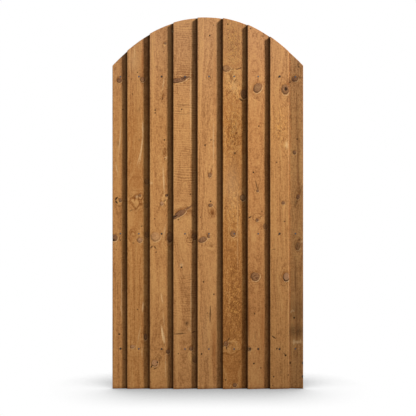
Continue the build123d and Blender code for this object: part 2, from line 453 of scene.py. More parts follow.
# %% [markdown]
# ## Slabs with enough points to carve
# Sawn timber is never flat, and light that grazes it shows every ripple. So each piece starts as
# a fine grid, is pulled to a slab, takes the shape of the real piece, and gets its corners eased by
# a bevel. Only then are its points pushed in and out by fractions of a millimetre. A displacement
# in the shader would look the same from the front, but it wouldn't be in the mesh.

# %% A slab from a grid
arris = 1.0 * MM  # how far a handled, weathered corner is worn
sharp = 0.7  # radians between two faces, past which their edge counts as a corner
Cell = namedtuple("Cell", "across along")
board_cell = Cell(3.3 * MM, 3.4 * MM)
rail_cell = Cell(3.2 * MM, 3.8 * MM)


def slab(name, width, length, cell, shape):
    """A closed piece. shape turns (across 0 to 1, along 0 to 1, front 0 or back 1) into a place."""
    bm = bmesh.new()
    columns, rows = round(width / cell.across), round(length / cell.along)
    bmesh.ops.create_grid(bm, x_segments=columns, y_segments=rows, size=0.5)
    pulled = bmesh.ops.extrude_face_region(bm, geom=bm.faces[:])
    back = [part for part in pulled["geom"] if isinstance(part, bmesh.types.BMVert)]
    bmesh.ops.translate(bm, verts=back, vec=(0, 0, 1))
    for v in bm.verts:
        v.co = shape(v.co.x + 0.5, v.co.y + 0.5, v.co.z)
    bmesh.ops.recalc_face_normals(bm, faces=bm.faces[:])
    if bm.calc_volume(signed=True) < 0:
        bmesh.ops.reverse_faces(bm, faces=bm.faces[:])
    corners = [e for e in bm.edges if e.calc_face_angle() > sharp]
    bmesh.ops.bevel(
        bm, geom=corners, offset=arris, segments=2, profile=0.5, affect="EDGES", material=-1
    )
    piece = object_from(bm, name)
    piece.data.shade_smooth()
    return piece


def board_slab(name, node):
    """A featheredge board between its foot's corners and the arch."""
    front_left, back_left, front_right, back_right = foot_corners(node)

    def shape(across, along, depth):
        place = front_left.lerp(front_right, across).lerp(back_left.lerp(back_right, across), depth)
        place.z = along * arch_height(place.x)
        return place

    return slab(name, (front_right - front_left).length, cad_high.z, board_cell, shape)


# %% [markdown]
# ## Grain
# The rings of a tree are cones, one in another, so on a sawn face each ring is a line at an equal
# distance from the pith. That distance, in millimetres, is worked out for every point of the mesh
# and kept as an attribute called grain. The colour and the ridges both read it, so they agree.
# Round a knot the lines are led aside, as water is led round a post.

# %% Noise in layers
noise_table = 256  # the side of the table of random numbers, after which the noise repeats
Waves = namedtuple("Waves", "high wide long seed")  # millimetres, and what is added to the seed


def noise(across, along, seed):
    """Smooth noise from -1 to 1 that changes about once in each unit."""
    table = np.random.default_rng(seed).uniform(-1, 1, (noise_table, noise_table))
    column, row = np.floor(across).astype(int), np.floor(along).astype(int)
    u, v = across - column, along - row
    u, v = u * u * (3 - 2 * u), v * v * (3 - 2 * v)

    def corner(i, j):
        return table[(column + i) % noise_table, (row + j) % noise_table]

    near = corner(0, 0) * (1 - u) + corner(1, 0) * u
    far = corner(0, 1) * (1 - u) + corner(1, 1) * u
    return near * (1 - v) + far * v


def layers_of(many_waves, across, along, seed):
    """Layers of noise added up, each with waves so high, wide and long."""
    return sum(
        waves.high * noise(across / waves.wide, along / waves.long, seed + waves.seed)
        for waves in many_waves
    )


def smooth_step(value, low, high):
    """Rises smoothly from 0 at low to 1 at high, or falls if high is the smaller."""
    t = np.clip((value - low) / (high - low), 0, 1)
    return t * t * (3 - 2 * t)


# %% The ring distance
lead_reach = 0.6  # how far from a knot's middle the grain is led fully aside, in knot widths
lead_fade = 4.5  # how many such reaches away it runs straight again
lead_length = 2.4  # how much longer than wide the bend is
ring_hill = 0.28  # what a knot adds to the distance at its middle, in knot widths
uneven_hill = (Waves(high=0.4, wide=19, long=24, seed=9),)
pith_sway = (Waves(high=14, wide=420, long=1, seed=0),)  # how the pith wanders sideways, in mm
pith_drift = (Waves(high=16, wide=650, long=1, seed=1),)  # and to and from the face
sway_row, drift_row = 0.5, 3.5  # where in their noise the two are read
tiny = 1e-6  # keeps a division away from nothing


def ellipse(across, along, mark):
    """How far each point is from a mark's middle, where 1 is its outline, and the offsets."""
    lean = radians(mark.lean)
    dx, dz = across - mark.across, along - mark.along
    p = dx * np.cos(lean) - dz * np.sin(lean)
    q = dx * np.sin(lean) + dz * np.cos(lean)
    return np.hypot(p / (mark.wide / 2), q / (mark.tall / 2)), dx, dz


def ring_distance(across, along, depth, kind, found, seed):
    """The distance from the pith in mm, led round the knots, with closed rings on knots and swirls."""
    led, hill = across.copy(), np.zeros_like(across)
    uneven = layers_of(uneven_hill, across, along, seed)
    for mark in found:
        if mark.kind in ("knot", "live", "swirl"):
            small = min(mark.wide, mark.tall)
            radius = lead_reach * small
            dx, dz = across - mark.across, (along - mark.along) / lead_length
            away = np.hypot(dx, dz)
            push = np.minimum(1, (radius / np.maximum(away, tiny)) ** 2)
            fade = np.exp(-((away / (lead_fade * radius)) ** 2))
            led -= min(mark.strength, 1) * dx * push * fade
            from_middle = ellipse(across, along, mark)[0] + uneven
            hill += mark.strength * ring_hill * small * np.exp(-(from_middle**4))
    sway = layers_of(pith_sway, along, along * 0 + sway_row, seed)
    drift = layers_of(pith_drift, along, along * 0 + drift_row, seed)
    return np.hypot(led - kind.pith - sway, kind.behind + drift + depth) + hill


# %% [markdown]
# ## Marks in the mesh
# Each mark is an ellipse. For knots, holes and fibres, each point of the mesh keeps how far it lies
# from the nearest one, counted so that 1 is the outline. A distance changes evenly from point to
# point, so the material can draw an outline finer than the mesh. Patches need only soft masks. All
# of them are attributes, so they follow the wood and not the camera. Holes and slits are also cut
# in, and knots stand a little proud, because they are harder than the wood round them and shrink
# less.

# %% Distances and masks from the marks
RealMark = namedtuple("RealMark", "kind across along wide tall strength lean", defaults=(0,))
Nearest = namedtuple("Nearest", "away strength low_left low_right live")
patch_kinds = ("dark", "pale", "red", "rough", "saw", "swirl")
far_off = 4.0  # the distance kept where no mark is near
saw_rim = (1.1, 0.7)  # where a patch of saw marks starts and is full, and 1 is its outline
soft_rim = 1.2  # how fast the other patches fade from their middle
least_shade = 0.1  # of a knot's dark outline, on its upper right, where no painted shade deepens it


def real_marks(node, left):
    """The marks of a board as millimetres across from its left edge and up from the ground."""
    placed = []
    for mark in marks[node]:
        x, z = on_gate(mark.column, mark.row)
        placed.append(RealMark(mark.kind, (x - left) / MM, z / MM, *mark[3:]))
    return placed


def nearest_mark(across, along, found, kinds):
    """How far off the nearest mark of some kinds is, its strength, its lower sides, and if it is live."""
    away = np.full_like(across, far_off)
    strength, low_left, low_right, live = np.zeros((4, len(across)))
    for mark in found:
        if mark.kind in kinds:
            here, dx, dz = ellipse(across, along, mark)
            closer = here < away
            away = np.where(closer, here, away)
            strength = np.where(closer, mark.strength, strength)
            reach = np.maximum(np.hypot(dx, dz) * 2**0.5, tiny)
            left_side, right_side = 0.5 - 0.5 * (dx + dz) / reach, 0.5 + 0.5 * (dx - dz) / reach
            left_side = least_shade + (1 - least_shade) * left_side
            low_left = np.where(closer, left_side, low_left)
            low_right = np.where(closer, right_side, low_right)
            live = np.where(closer, mark.kind == "live", live)
    return Nearest(away, strength, low_left, low_right, live)


def patches(across, along, found):
    """A soft mask for each kind of patch."""
    masks = {kind: np.zeros_like(across) for kind in patch_kinds}
    for mark in found:
        if mark.kind in masks:
            away = ellipse(across, along, mark)[0]
            soft = smooth_step(away, *saw_rim) if mark.kind == "saw" else np.exp(-soft_rim * away**2)
            masks[mark.kind] = np.maximum(masks[mark.kind], soft * mark.strength)
    return masks


# %% Relief from the saw and the weather, in millimetres
saw_pitch = 10.5  # between two strokes of the saw
saw_bow = 0.0007  # how far a stroke sags, for each square millimetre from the board's middle
saw_height, saw_everywhere, mean_stroke = 0.4, 0.03, 0.75
saw_drift = (Waves(0.8, 200, 80, 6), Waves(0.35, 45, 26, 10))  # in strokes
saw_waver = (Waves(0.5, 50, 17, 11),)
slow_warp = (Waves(0.5, 55, 230, 2),)
grain_ridges = (Waves(0.2, 7, 260, 3), Waves(0.12, 14, 420, 4))
fuzz = (Waves(0.1, 6, 9, 12),)
curly_grain = (Waves(0.26, 9, 12, 7), Waves(0.18, 5, 6, 8))


def saw_relief(across, along, ring, rough, saw_marks, seed):
    """How far the surface lies from flat: the slow warp, and the fine relief."""
    bow = saw_bow * (across - across.mean()) ** 2
    strokes = (along - bow) / saw_pitch + layers_of(saw_drift, across, along, seed)
    depth = saw_height * (mean_stroke + layers_of(saw_waver, across, along, seed))
    relief = layers_of(grain_ridges, ring, along, seed) + layers_of(fuzz, across, along, seed)
    relief += (saw_everywhere + saw_marks) * depth * np.sin(2 * pi * strokes)
    relief += rough * layers_of(curly_grain, across, along, seed)
    return layers_of(slow_warp, across, along, seed), relief


# %% Carve a slab
Carving = namedtuple("Carving", "height start full")  # millimetres, then distances as above
raised_knot, sunk_hole = Carving(0.3, 1.1, 0.8), Carving(-0.7, 1.2, 0.6)
torn_fibre = Carving(-0.25, 1.3, 0.6)
groove_depth, groove_width = 0.4, 0.25  # of the shrinkage crack on a knot's lower left
round_nail = (1.5, 3)  # a nail's blow leaves the wood flat up to the first, and untouched from the second
stock_rough, most_rough = 0.3, 1.3  # a board's own share, and the most with its patches
side_relief, face_normal = 0.25, (0.4, 0.9)  # a piece's narrow sides get less relief than its faces
seed_shift = 30  # mm, so that no two pieces show the same stretch of the pattern
figure_reach = 2  # how far round a knot the grain is figured, in its own sizes
kept_vectors = {  # what each attribute of the mesh holds
    "grain": ("ring", "along", "relief"),
    "knot": ("knot_away", "knot_strength", "figure"),
    "knot_side": ("low_left", "low_right", "live"),
    "hole": ("hole_away", "hole_strength", "fibre_away"),
    "stain": ("dark", "pale", "red"),
    "strips_and_shade": ("fibre_strength", "tucked", "edge"),
}


def read_vectors(mesh, name):
    """A vector for each point of a mesh."""
    flat = np.empty(len(mesh.vertices) * 3, np.float32)
    mesh.vertices.foreach_get(name, flat)
    return flat.reshape(-1, 3).astype(float)


def keep(mesh, name, kind, field, values):
    """Stores numbers at the points of a mesh as an attribute."""
    attribute = mesh.attributes.new(name, kind, "POINT")
    attribute.data.foreach_set(field, values.astype(np.float32).ravel())


def no_crevice_shade(places, normals):
    """The painted crevice shade and edge strips of a piece with no neighbour: none."""
    return np.zeros(len(places)), np.zeros(len(places))


def carve(piece, origin, across_way, along_way, kind, found, seed, strips_and_shade=no_crevice_shade):
    """Gives a slab its grain attributes and pushes its points to a sawn surface."""
    mesh = piece.data
    places, normals = read_vectors(mesh, "co"), read_vectors(mesh, "normal")
    from_origin = (places - np.array(origin)) / MM
    across, along = from_origin @ np.array(across_way), from_origin @ np.array(along_way)
    ring = ring_distance(across, along, from_origin[:, 1], kind, found, seed)
    masks = patches(across, along, found)
    tucked, edge = strips_and_shade(places, normals)
    knots = nearest_mark(across, along, found, ("knot", "live"))
    holes = nearest_mark(across, along, found, ("pin", "hole", "slit", "nail"))
    fibres = nearest_mark(across, along, found, ("fibre",))
    nail_away = nearest_mark(across, along, found, ("nail",)).away

    rough = np.minimum(stock_rough * kind.rough + masks["rough"], most_rough)
    warp, relief = saw_relief(across, along, ring, rough, masks["saw"], seed)
    push = (warp + relief) * smooth_step(nail_away, *round_nail)
    groove = np.exp(-(((knots.away - 1) / groove_width) ** 2))
    push -= groove_depth * groove * knots.strength * knots.low_left
    for carving, near in ((raised_knot, knots), (sunk_hole, holes), (torn_fibre, fibres)):
        push += carving.height * smooth_step(near.away, carving.start, carving.full) * near.strength
    facing = smooth_step(np.abs(normals[:, 1]), *face_normal)
    places += normals * (push * (side_relief + (1 - side_relief) * facing) * MM)[:, None]
    mesh.vertices.foreach_set("co", places.astype(np.float32).ravel())

    values = dict(masks, ring=ring + seed_shift * seed, along=along, relief=relief)
    values.update(low_left=knots.low_left, low_right=knots.low_right, live=knots.live)
    values.update(tucked=tucked, edge=edge)
    for name, near in (("knot", knots), ("hole", holes), ("fibre", fibres)):
        values[f"{name}_away"], values[f"{name}_strength"] = near.away, near.strength
    near_knot = np.exp(-((knots.away / figure_reach) ** 2))
    values["figure"] = np.maximum(masks["swirl"], near_knot * knots.strength)
    for name, parts in kept_vectors.items():
        vectors = np.stack([values[part] for part in parts], axis=1)
        keep(mesh, name, "FLOAT_VECTOR", "vector", vectors)
    keep(mesh, "rough", "FLOAT", "value", rough)
    mesh.update()


# %% [markdown]
# ## Treated softwood, rough from the saw
# The real boards are pine or spruce, sawn and then dipped in a brown preservative. The dip leaves
# the thin autumn rings darker and redder than the wide spring wood, and dries matt. The recipe is
# noise stretched along the grain at four widths, from bands of a centimetre or two to single
# fibres, between a darker and a paler tone of the board's own colour. The finest fibres are a few
# tenths of a millimetre wide on real wood, and are drawn about three times as coarse so that they
# show at all. Each cell below makes one part of the recipe, and the last one lays them over each
# other.

# %% The wood's colours
dark_grain, pale_grain, fleck_gold = "#6f3c14", "#e0ab69", "#de9f52"
top_tan, edge_strip_orange, preservative_red = "#c39672", "#a9682f", "#985723"
bark_black, hole_black, torn_cream = "#2c190d", "#1a0e07", "#f0c68e"
# the second colour is painted shade, nearly black, for the lap beside each next board's thick edge
stain_brown, tucked_dirt = "#39200f", "#14120b"
dead_brown, dead_purple, live_tan, live_grey = "#64402b", "#84604a", "#bf8f68", "#ad7d59"

# %% What the mesh tells the material


def kept_values(tree):
    """The numbers that the mesh keeps, as sockets by name, and the grain's three as one node."""
    kept = {"rough": add(tree, "ShaderNodeAttribute", attribute_name="rough").outputs["Fac"]}
    for name, parts in kept_vectors.items():
        kept[name] = add(tree, "ShaderNodeAttribute", attribute_name=name)
        kept.update(zip(parts, add(tree, "ShaderNodeSeparateXYZ", {0: kept[name]}).outputs))
    return kept


# %% Autumn and spring tones
Streak = namedtuple("Streak", "name wide long detail weight")  # wide and long in millimetres
along_grain = (
    Streak("bands", wide=16, long=700, detail=2, weight=0.4),
    Streak("lines", wide=7, long=420, detail=2, weight=0.6),
    Streak("fibres", wide=4, long=110, detail=2, weight=0.9),
    Streak("hairs", wide=1.5, long=30, detail=3, weight=0.9),
)
any_way = (
    Streak("clouds", 90, 90, 2, 0.3),
    Streak("blotches", 26, 26, 1, 0.3),
    Streak("mottle", 7, 7, 3, 1.35),
)
# painted shade: the colour darkens where the carved relief lies low
relief_tone = 1.2  # how much a hollow darkens, for each millimetre
contrast = 0.46  # how far the tone has to leave its middle to count in full
autumn_most, spring_most = 1.0, 0.85
plain_share, figure_share = 0.65, 0.7  # how vivid the tones are on plain wood, and more on a figure


def grain_tones(tree, kept, place):
    """Masks of the autumn and the spring wood, with painted shade in the relief's hollows, and the noise
    patterns that they come from.
    """
    sources = [(one, kept["grain"], (1 / one.wide, 1 / one.long, 0)) for one in along_grain]
    sources += [(one, place, (1 / (one.wide * MM),) * 3) for one in any_way]
    tone, patterns = 0.0, {}
    for one, source, scale in sources:
        scaled = add(tree, "ShaderNodeVectorMath", {0: source, 1: scale}, operation="MULTIPLY")
        noise_inputs = {"Vector": scaled, "Scale": 1.0, "Detail": one.detail}
        patterns[one.name] = add(tree, "ShaderNodeTexNoise", noise_inputs)
        weighed = {0: patterns[one.name], 1: one.weight, 2: tone}
        tone = add(tree, "ShaderNodeMath", weighed, operation="MULTIPLY_ADD")
    hollows = {0: kept["relief"], 1: relief_tone, 2: tone}
    tone = add(tree, "ShaderNodeMath", hollows, operation="MULTIPLY_ADD")
    middle = sum(one.weight for one in along_grain + any_way) / 2
    shares = {0: kept["figure"], 1: figure_share, 2: plain_share}
    vivid = add(tree, "ShaderNodeMath", shares, operation="MULTIPLY_ADD")
    shades = []
    for end, most in ((middle - contrast, autumn_most), (middle + contrast, spring_most)):
        span = {"Value": tone, "From Min": middle, "From Max": end, "To Max": most}
        shade = add(tree, "ShaderNodeMapRange", span)
        shades.append(add(tree, "ShaderNodeMath", {0: shade, 1: vivid}, operation="MULTIPLY"))
    return *shades, patterns


# %% Growth lines, which show where the grain bends round a knot
growth_pitch = 12.0  # mm between two lines, wide enough for the picture to show them
line_waver = 12.0  # how far the fibres' noise moves them, in radians
line_breaks = (0.34, 0.55)  # the blotches' noise at which a line starts and is full
line_edges = ((-0.2, -1.0), (0.3, 1.0))  # the sine at which a dark and a pale line start and are full


def growth_lines(tree, kept, patterns):
    """Masks of the dark and the pale lines."""
    waver = add(tree, "ShaderNodeMath", {0: patterns["fibres"], 1: line_waver}, operation="MULTIPLY")
    turns = {0: kept["ring"], 1: 2 * pi / growth_pitch, 2: waver}
    wave = add(tree, "ShaderNodeMath", turns, operation="MULTIPLY_ADD")
    wave = add(tree, "ShaderNodeMath", {0: wave}, operation="SINE")
    start, full = line_breaks
    span = {"Value": patterns["blotches"], "From Min": start, "From Max": full}
    shown = add(tree, "ShaderNodeMapRange", span)
    shown = add(tree, "ShaderNodeMath", {0: shown, 1: kept["figure"]}, operation="MULTIPLY")
    lines = []
    for start, full in line_edges:
        line = add(tree, "ShaderNodeMapRange", {"Value": wave, "From Min": start, "From Max": full})
        lines.append(add(tree, "ShaderNodeMath", {0: line, 1: shown}, operation="MULTIPLY"))
    return lines


# %% Curly grain, pits, a paler top and darker feet
Fade = namedtuple("Fade", "of start full most")  # what it is read from, and where it fades in
fades = {
    "pale fleck": Fade("curl", 0.52, 0.69, 0.9),  # curly, torn grain, paler partly as a painted highlight where its bump stands up
    # and darker partly as painted shade where its bump lies low
    "dark fleck": Fade("curl", 0.48, 0.3, 0.85),
    "pit": Fade("pits", 0.68, 0.8, 0.5),  # small dark pits, where a fibre was torn out
    "paler_top": Fade("height", 1.25, 1.65, 0.3),  # the boards are paler towards their tops
    "darker_foot": Fade("height", 14 * MM, 0.0, 0.6),  # and darker at their feet
}
curl_size, curl_distortion = (4.8, 4.8, 8.5), 1.3  # mm
pit_size = (4, 4, 11)  # mm


def flecks_and_height_fades(tree, kept, place):
    """The curly grain's noise, and a mask for each of the fades."""
    sources = {"height": add(tree, "ShaderNodeSeparateXYZ", {0: place}).outputs[2]}
    for name, size, distortion in (("curl", curl_size, curl_distortion), ("pits", pit_size, 0.0)):
        scale = tuple(1 / (side * MM) for side in size)
        scaled = add(tree, "ShaderNodeVectorMath", {0: place, 1: scale}, operation="MULTIPLY")
        noise_inputs = {"Vector": scaled, "Scale": 1.0, "Detail": 2.0, "Distortion": distortion}
        sources[name] = add(tree, "ShaderNodeTexNoise", noise_inputs)
    masks = {}
    for name, (source, start, full, most) in fades.items():
        span = {"Value": sources[source], "From Min": start, "From Max": full, "To Max": most}
        masks[name] = add(tree, "ShaderNodeMapRange", span)
        if source == "curl":
            torn = {0: masks[name], 1: kept["rough"]}
            masks[name] = add(tree, "ShaderNodeMath", torn, operation="MULTIPLY")
    return sources["curl"], masks


# %% Uneven outlines, from the distances that the mesh keeps
Outline = namedtuple("Outline", "uneven start full")  # how far noise moves it, and where it fades in
outlines = {
    "knot": Outline(0.5, 1.2, 1.02),
    "hole": Outline(0.6, 1.25, 0.7),
    "fibre": Outline(1.2, 1.4, 0.6),
}
wobble_size = 8 * MM


def drawn_marks(tree, kept, place):
    """For knots, holes and fibres, the distance with its outline moved, and the mask inside it."""
    noise_inputs = {"Vector": place, "Scale": 1 / wobble_size, "Detail": 2.0}
    wobble = add(tree, "ShaderNodeTexNoise", noise_inputs)
    moved = add(tree, "ShaderNodeMath", {0: wobble, 1: 0.5}, operation="SUBTRACT")
    away, inside = {}, {}
    for kind, (uneven, start, full) in outlines.items():
        shifted = {0: moved, 1: uneven, 2: kept[f"{kind}_away"]}
        away[kind] = add(tree, "ShaderNodeMath", shifted, operation="MULTIPLY_ADD")
        span = {"Value": away[kind], "From Min": start, "From Max": full}
        mask = add(tree, "ShaderNodeMapRange", span)
        weighed = {0: mask, 1: kept[f"{kind}_strength"]}
        inside[kind] = add(tree, "ShaderNodeMath", weighed, operation="MULTIPLY")
    return away, inside


# %% The rings in a knot and round it
heart_colours = ((dead_brown, dead_purple), (live_tan, live_grey))  # of a dead knot and a live one
heart_rings = 16.0  # how fast the rings follow each other inside the outline, in radians
lit_side = (0.4, 0.9)  # where the light edge on a knot's lower right starts and is full
KnotRing = namedtuple("KnotRing", "at half strength side colour")  # its place, and half its width
knot_rings = (
    KnotRing(at=1.3, half=0.8, strength=0.4, side="all", colour=preservative_red),
    KnotRing(at=1.4, half=0.2, strength=0.7, side="light", colour=torn_cream),
    # the dark outline is the knot's own rim, deepened on its lower left as painted shade away from the
    # light
    KnotRing(at=1.12, half=0.28, strength=0.95, side="dark", colour=bark_black),
)


def knot_colours(tree, kept, away):
    """The colour inside a knot, and a layer for each of the rings round it."""
    growth = add(tree, "ShaderNodeMath", {0: away, 1: heart_rings}, operation="MULTIPLY")
    growth = add(tree, "ShaderNodeMath", {0: growth}, operation="SINE")
    growth = add(tree, "ShaderNodeMapRange", {"Value": growth, "From Min": -1.0})
    dead, live = (
        add(tree, "ShaderNodeMix", {0: growth, 6: linear(one), 7: linear(other)}, data_type="RGBA")
        for one, other in heart_colours
    )
    heart = add(tree, "ShaderNodeMix", {0: kept["live"], 6: dead, 7: live}, data_type="RGBA")
    start, full = lit_side
    span = {"Value": kept["low_right"], "From Min": start, "From Max": full}
    sides = {"all": 1.0, "light": add(tree, "ShaderNodeMapRange", span), "dark": kept["low_left"]}
    around = {}
    for one in knot_rings:
        off = add(tree, "ShaderNodeMath", {0: away, 1: one.at}, operation="SUBTRACT")
        off = add(tree, "ShaderNodeMath", {0: off}, operation="ABSOLUTE")
        span = {"Value": off, "From Min": one.half, "From Max": 0.0, "To Max": one.strength}
        band = add(tree, "ShaderNodeMapRange", span)
        band = add(tree, "ShaderNodeMath", {0: band, 1: kept["knot_strength"]}, operation="MULTIPLY")
        around[one.side] = (band, sides[one.side], linear(one.colour))
    return heart, around


# %% The wood material, layer over layer
stain_mottle = {"From Min": 0.35, "From Max": 0.6, "To Min": 0.55, "To Max": 1.3}
fibre_lift = 1.5  # how much more the curly grain stands up where it is rough
wood_finish = {"Roughness": 0.85, "Specular IOR Level": 0.1}


def sawn_softwood(name, colour):
    """Dipped, sawn pine or spruce: matt, with darker autumn rings and brown knots."""
    material, tree = new_material(name)
    kept = kept_values(tree)
    place = add(tree, "ShaderNodeTexCoord").outputs["Object"]
    autumn, spring, patterns = grain_tones(tree, kept, place)
    dark_line, pale_line = growth_lines(tree, kept, patterns)
    curl, masks = flecks_and_height_fades(tree, kept, place)
    away, inside = drawn_marks(tree, kept, place)
    heart, around = knot_colours(tree, kept, away["knot"])

    # Stains are mottled, because the rough wood takes them up unevenly
    mottle = add(tree, "ShaderNodeMapRange", {"Value": patterns["mottle"], **stain_mottle})
    stained = add(tree, "ShaderNodeMath", {0: kept["dark"], 1: mottle}, operation="MULTIPLY")

    # Where each layer lies, how strong it is, and its colour
    wood = linear(colour)
    layers = [
        (masks["paler_top"], 1.0, linear(top_tan)),
        (autumn, 0.75, linear(dark_grain)),
        (spring, 0.75, linear(pale_grain)),
        (dark_line, 0.85, linear(dark_grain)),
        (pale_line, 0.65, linear(pale_grain)),
        # flecks of curly grain: partly its own colour, partly painted highlight and shade on its bump
        (masks["pale fleck"], 1.0, linear(fleck_gold)),
        (masks["dark fleck"], 1.0, linear(dark_grain)),
        (kept["red"], 0.6, linear(preservative_red)),
        # a darker orange strip along the gate's sides and arch top
        (kept["edge"], 0.5, linear(edge_strip_orange)),
        (masks["darker_foot"], 1.0, linear(dark_grain)),
        (kept["pale"], 0.6, linear(torn_cream)),
        (inside["fibre"], 0.6, linear(torn_cream)),
        around["all"],
        around["light"],
        (inside["knot"], 0.72, heart),
        around["dark"],
        (masks["pit"], 1.0, linear(bark_black)),
        (stained, 0.75, linear(stain_brown)),
        (inside["hole"], 0.92, linear(hole_black)),
        # painted shade, darkest in the crevice under the next board's thick edge
        (kept["tucked"], 0.95, linear(tucked_dirt)),
    ]
    for factor, strength, layer in layers:
        factor = add(tree, "ShaderNodeMath", {0: factor, 1: strength}, operation="MULTIPLY")
        wood = add(tree, "ShaderNodeMix", {0: factor, 6: wood, 7: layer}, data_type="RGBA")

    # Fibres that stand up, more so where the grain is rough
    fibres = {0: patterns["fibres"], 1: patterns["hairs"]}
    height = add(tree, "ShaderNodeMath", fibres, operation="ADD")
    height = add(tree, "ShaderNodeMath", {0: patterns["mottle"], 1: height}, operation="ADD")
    lift = add(tree, "ShaderNodeMath", {0: kept["rough"], 1: fibre_lift}, operation="MULTIPLY")
    height = add(tree, "ShaderNodeMath", {0: curl, 1: lift, 2: height}, operation="MULTIPLY_ADD")
    bump = add(tree, "ShaderNodeBump", {"Height": height, "Strength": 0.7, "Distance": 0.8 * MM})
    surface = {"Base Color": wood, "Normal": bump, **wood_finish}
    shader = add(tree, "ShaderNodeBsdfPrincipled", surface)
    add(tree, "ShaderNodeOutputMaterial", {0: shader})
    return material


# %% [markdown]
# ## The nine boards
# Each board is made, carved with its own marks, and given wood of its own tone. Its nails count as
# marks too: a hammer leaves a shallow dent round the head, and damp iron turns the wood dark there.
# A nail is found from its CAD solid. Of its two ends, the tip is the one from which a whole ring of
# points lies equally far: the rim of the head.

# %% Where the nails are


def furthest(place, places):
    """The places that lie furthest from one place, with all that tie."""
    longest = max((other - place).length for other in places)
    return [other for other in places if (other - place).length > longest - hair / 2]


def nail_lines(node):
    """Where each nail of a node has its head's top and its tip, from its solids."""
    bm = bmesh.new()
    bm.from_mesh(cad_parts[node].data)
    bmesh.ops.remove_doubles(bm, verts=bm.verts[:], dist=0.001 * MM)
    left = set(bm.verts)
    lines = []
    while left:
        island, reach = set(), [next(iter(left))]
        while reach:
            vert = reach.pop()
            if vert not in island:
                island.add(vert)
                reach += [edge.other_vert(vert) for edge in vert.link_edges]
        left -= island
        places = [v.co.copy() for v in island]
        one_end = furthest(sum(places, Vector()) / len(places), places)[0]
        other_end = furthest(one_end, places)[0]
        tip = max((one_end, other_end), key=lambda end: len(furthest(end, places)))
        rim = furthest(tip, places)
        lines.append((sum(rim, Vector()) / len(rim), tip))
    bm.free()
    return sorted(lines, key=lambda line: (line[0].z, line[0].x))


nails = {node: nail_lines(node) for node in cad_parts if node.endswith("_nails")}
print("nails:", sum(len(lines) for lines in nails.values()))

# %% Make the boards
covered = 7  # boards, from the left, whose thin edge lies under the next one's thick edge
next_board = {f"board_{number}": f"board_{number + 1}" for number in range(1, covered + 1)}
strip = 3.5 * MM  # how wide a sawn edge looks darker
tuck = 16 * MM  # how far painted shade reaches from under the next board's thick edge
dent = 9.0  # mm, across the dark dent round a nail's head
black_dent = 1.2 * dent  # round the heads that the dip turned black, counted from the foot
dent_strength, black_strength = 0.55, 0.9
tarnished = {"board_1": (0,), "board_3": (0, 1, 2), "board_7": (0,), "board_8": (0, 1, 2)}


def crevice_shade_and_strips(node):
    """A function that gives a board's painted shade beside the next board, and its edge strips."""
    next_edge = foot_corners(next_board[node])[0].x if node in next_board else None

    def strips_and_shade(places, normals):
        x, z = places[:, 0], places[:, 2]
        inward = np.minimum(half_width - np.abs(x), arch_height(x) - z)
        strips = smooth_step(inward, strip, 0.6 * strip)
        tucked = np.zeros_like(x)
        if next_edge is not None:
            tucked = np.clip((x - next_edge + tuck) / tuck, 0, 1) * (normals[:, 1] < 0)
        return tucked, strips

    return strips_and_shade


for number, (node, kind) in enumerate(stock.items(), start=1):
    piece = board_slab(f"featheredge_{number}", node)
    front_left = foot_corners(node)[0]
    found = real_marks(node, front_left.x)
    for count, (head, _) in enumerate(nails[f"{node}_nails"]):
        is_black = count in tarnished.get(node, ())
        wide, strength = (black_dent, black_strength) if is_black else (dent, dent_strength)
        across, along = (head.x - front_left.x) / MM, head.z / MM
        found.append(RealMark("nail", across, along, wide, wide, strength))
    carve(piece, front_left, (1, 0, 0), (0, 0, 1), kind, found, 10 * number, crevice_shade_and_strips(node))
    piece.data.materials.append(sawn_softwood(f"sawn softwood, board {number}", kind.colour))
    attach(piece, "root")
    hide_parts(node)
    triangles = sum(len(p.vertices) - 2 for p in piece.data.polygons)
    print(piece.name, "triangles:", triangles, "marks:", len(found))

# %% [markdown]
# ## Ledges and braces
# The rails behind are stouter lengths of the same wood, sawn all round and dipped. The ledges lie
# level and the braces rise from the hanging side, so that the gate's weight pushes along them. They
# are slabs too, with the grain along their length and a few knots of their own. Two skew nails hold
# each end of a brace, and each went in down a slanting socket. A Boolean cuts the sockets, because
# a hole with upright walls can't be pushed out of a grid.

# %% Make the rails
rail_stock = {
    "top_ledge": Stock("#b8834f", pith=-60, behind=30, rough=0.4),
    "middle_ledge": Stock("#bd8856", pith=120, behind=30, rough=0.4),
    "bottom_ledge": Stock("#b27d4a", pith=40, behind=50, rough=0.4),
    "upper_brace": Stock("#bb8653", pith=-80, behind=40, rough=0.4),
    "lower_brace": Stock("#b68250", pith=100, behind=40, rough=0.4),
}
rail_knots, knot_sizes = 5, (9, 24)  # how many a rail has, and their least and most width
socket_radius, socket_length = 3.5 * MM, 16 * MM
socket_flare = 1.2  # how much wider the mouth is than the floor
under_head = 1 * MM  # from a socket's floor to the top of the nail's head


def rail_corners(node):
    """Three corners of a rail's front face: the lower left, the lower right and the upper left."""
    low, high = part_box(node)
    front = [place for place in solid_points(node) if place.y < low.y + hair]
    lower = [place for place in front if place.z < low.z + hair]
    upper = [place for place in front if place.z > high.z - hair]
    pick = [(lower, min), (lower, max), (upper, min)]
    return [end(places, key=lambda place: place.x).copy() for places, end in pick]


def random_knots(length, width, seed):
    """A few knots at random along a rail, in millimetres."""
    chance = np.random.default_rng(seed)
    for _ in range(rail_knots):
        size = chance.uniform(*knot_sizes)
        across, along = chance.uniform(0.1, 0.9) * width, chance.uniform(0.05, 0.95) * length
        tall, lean = size * chance.uniform(1, 1.5), chance.uniform(-20, 20)
        yield RealMark("knot", across, along, size, tall, chance.uniform(0.6, 1), lean)


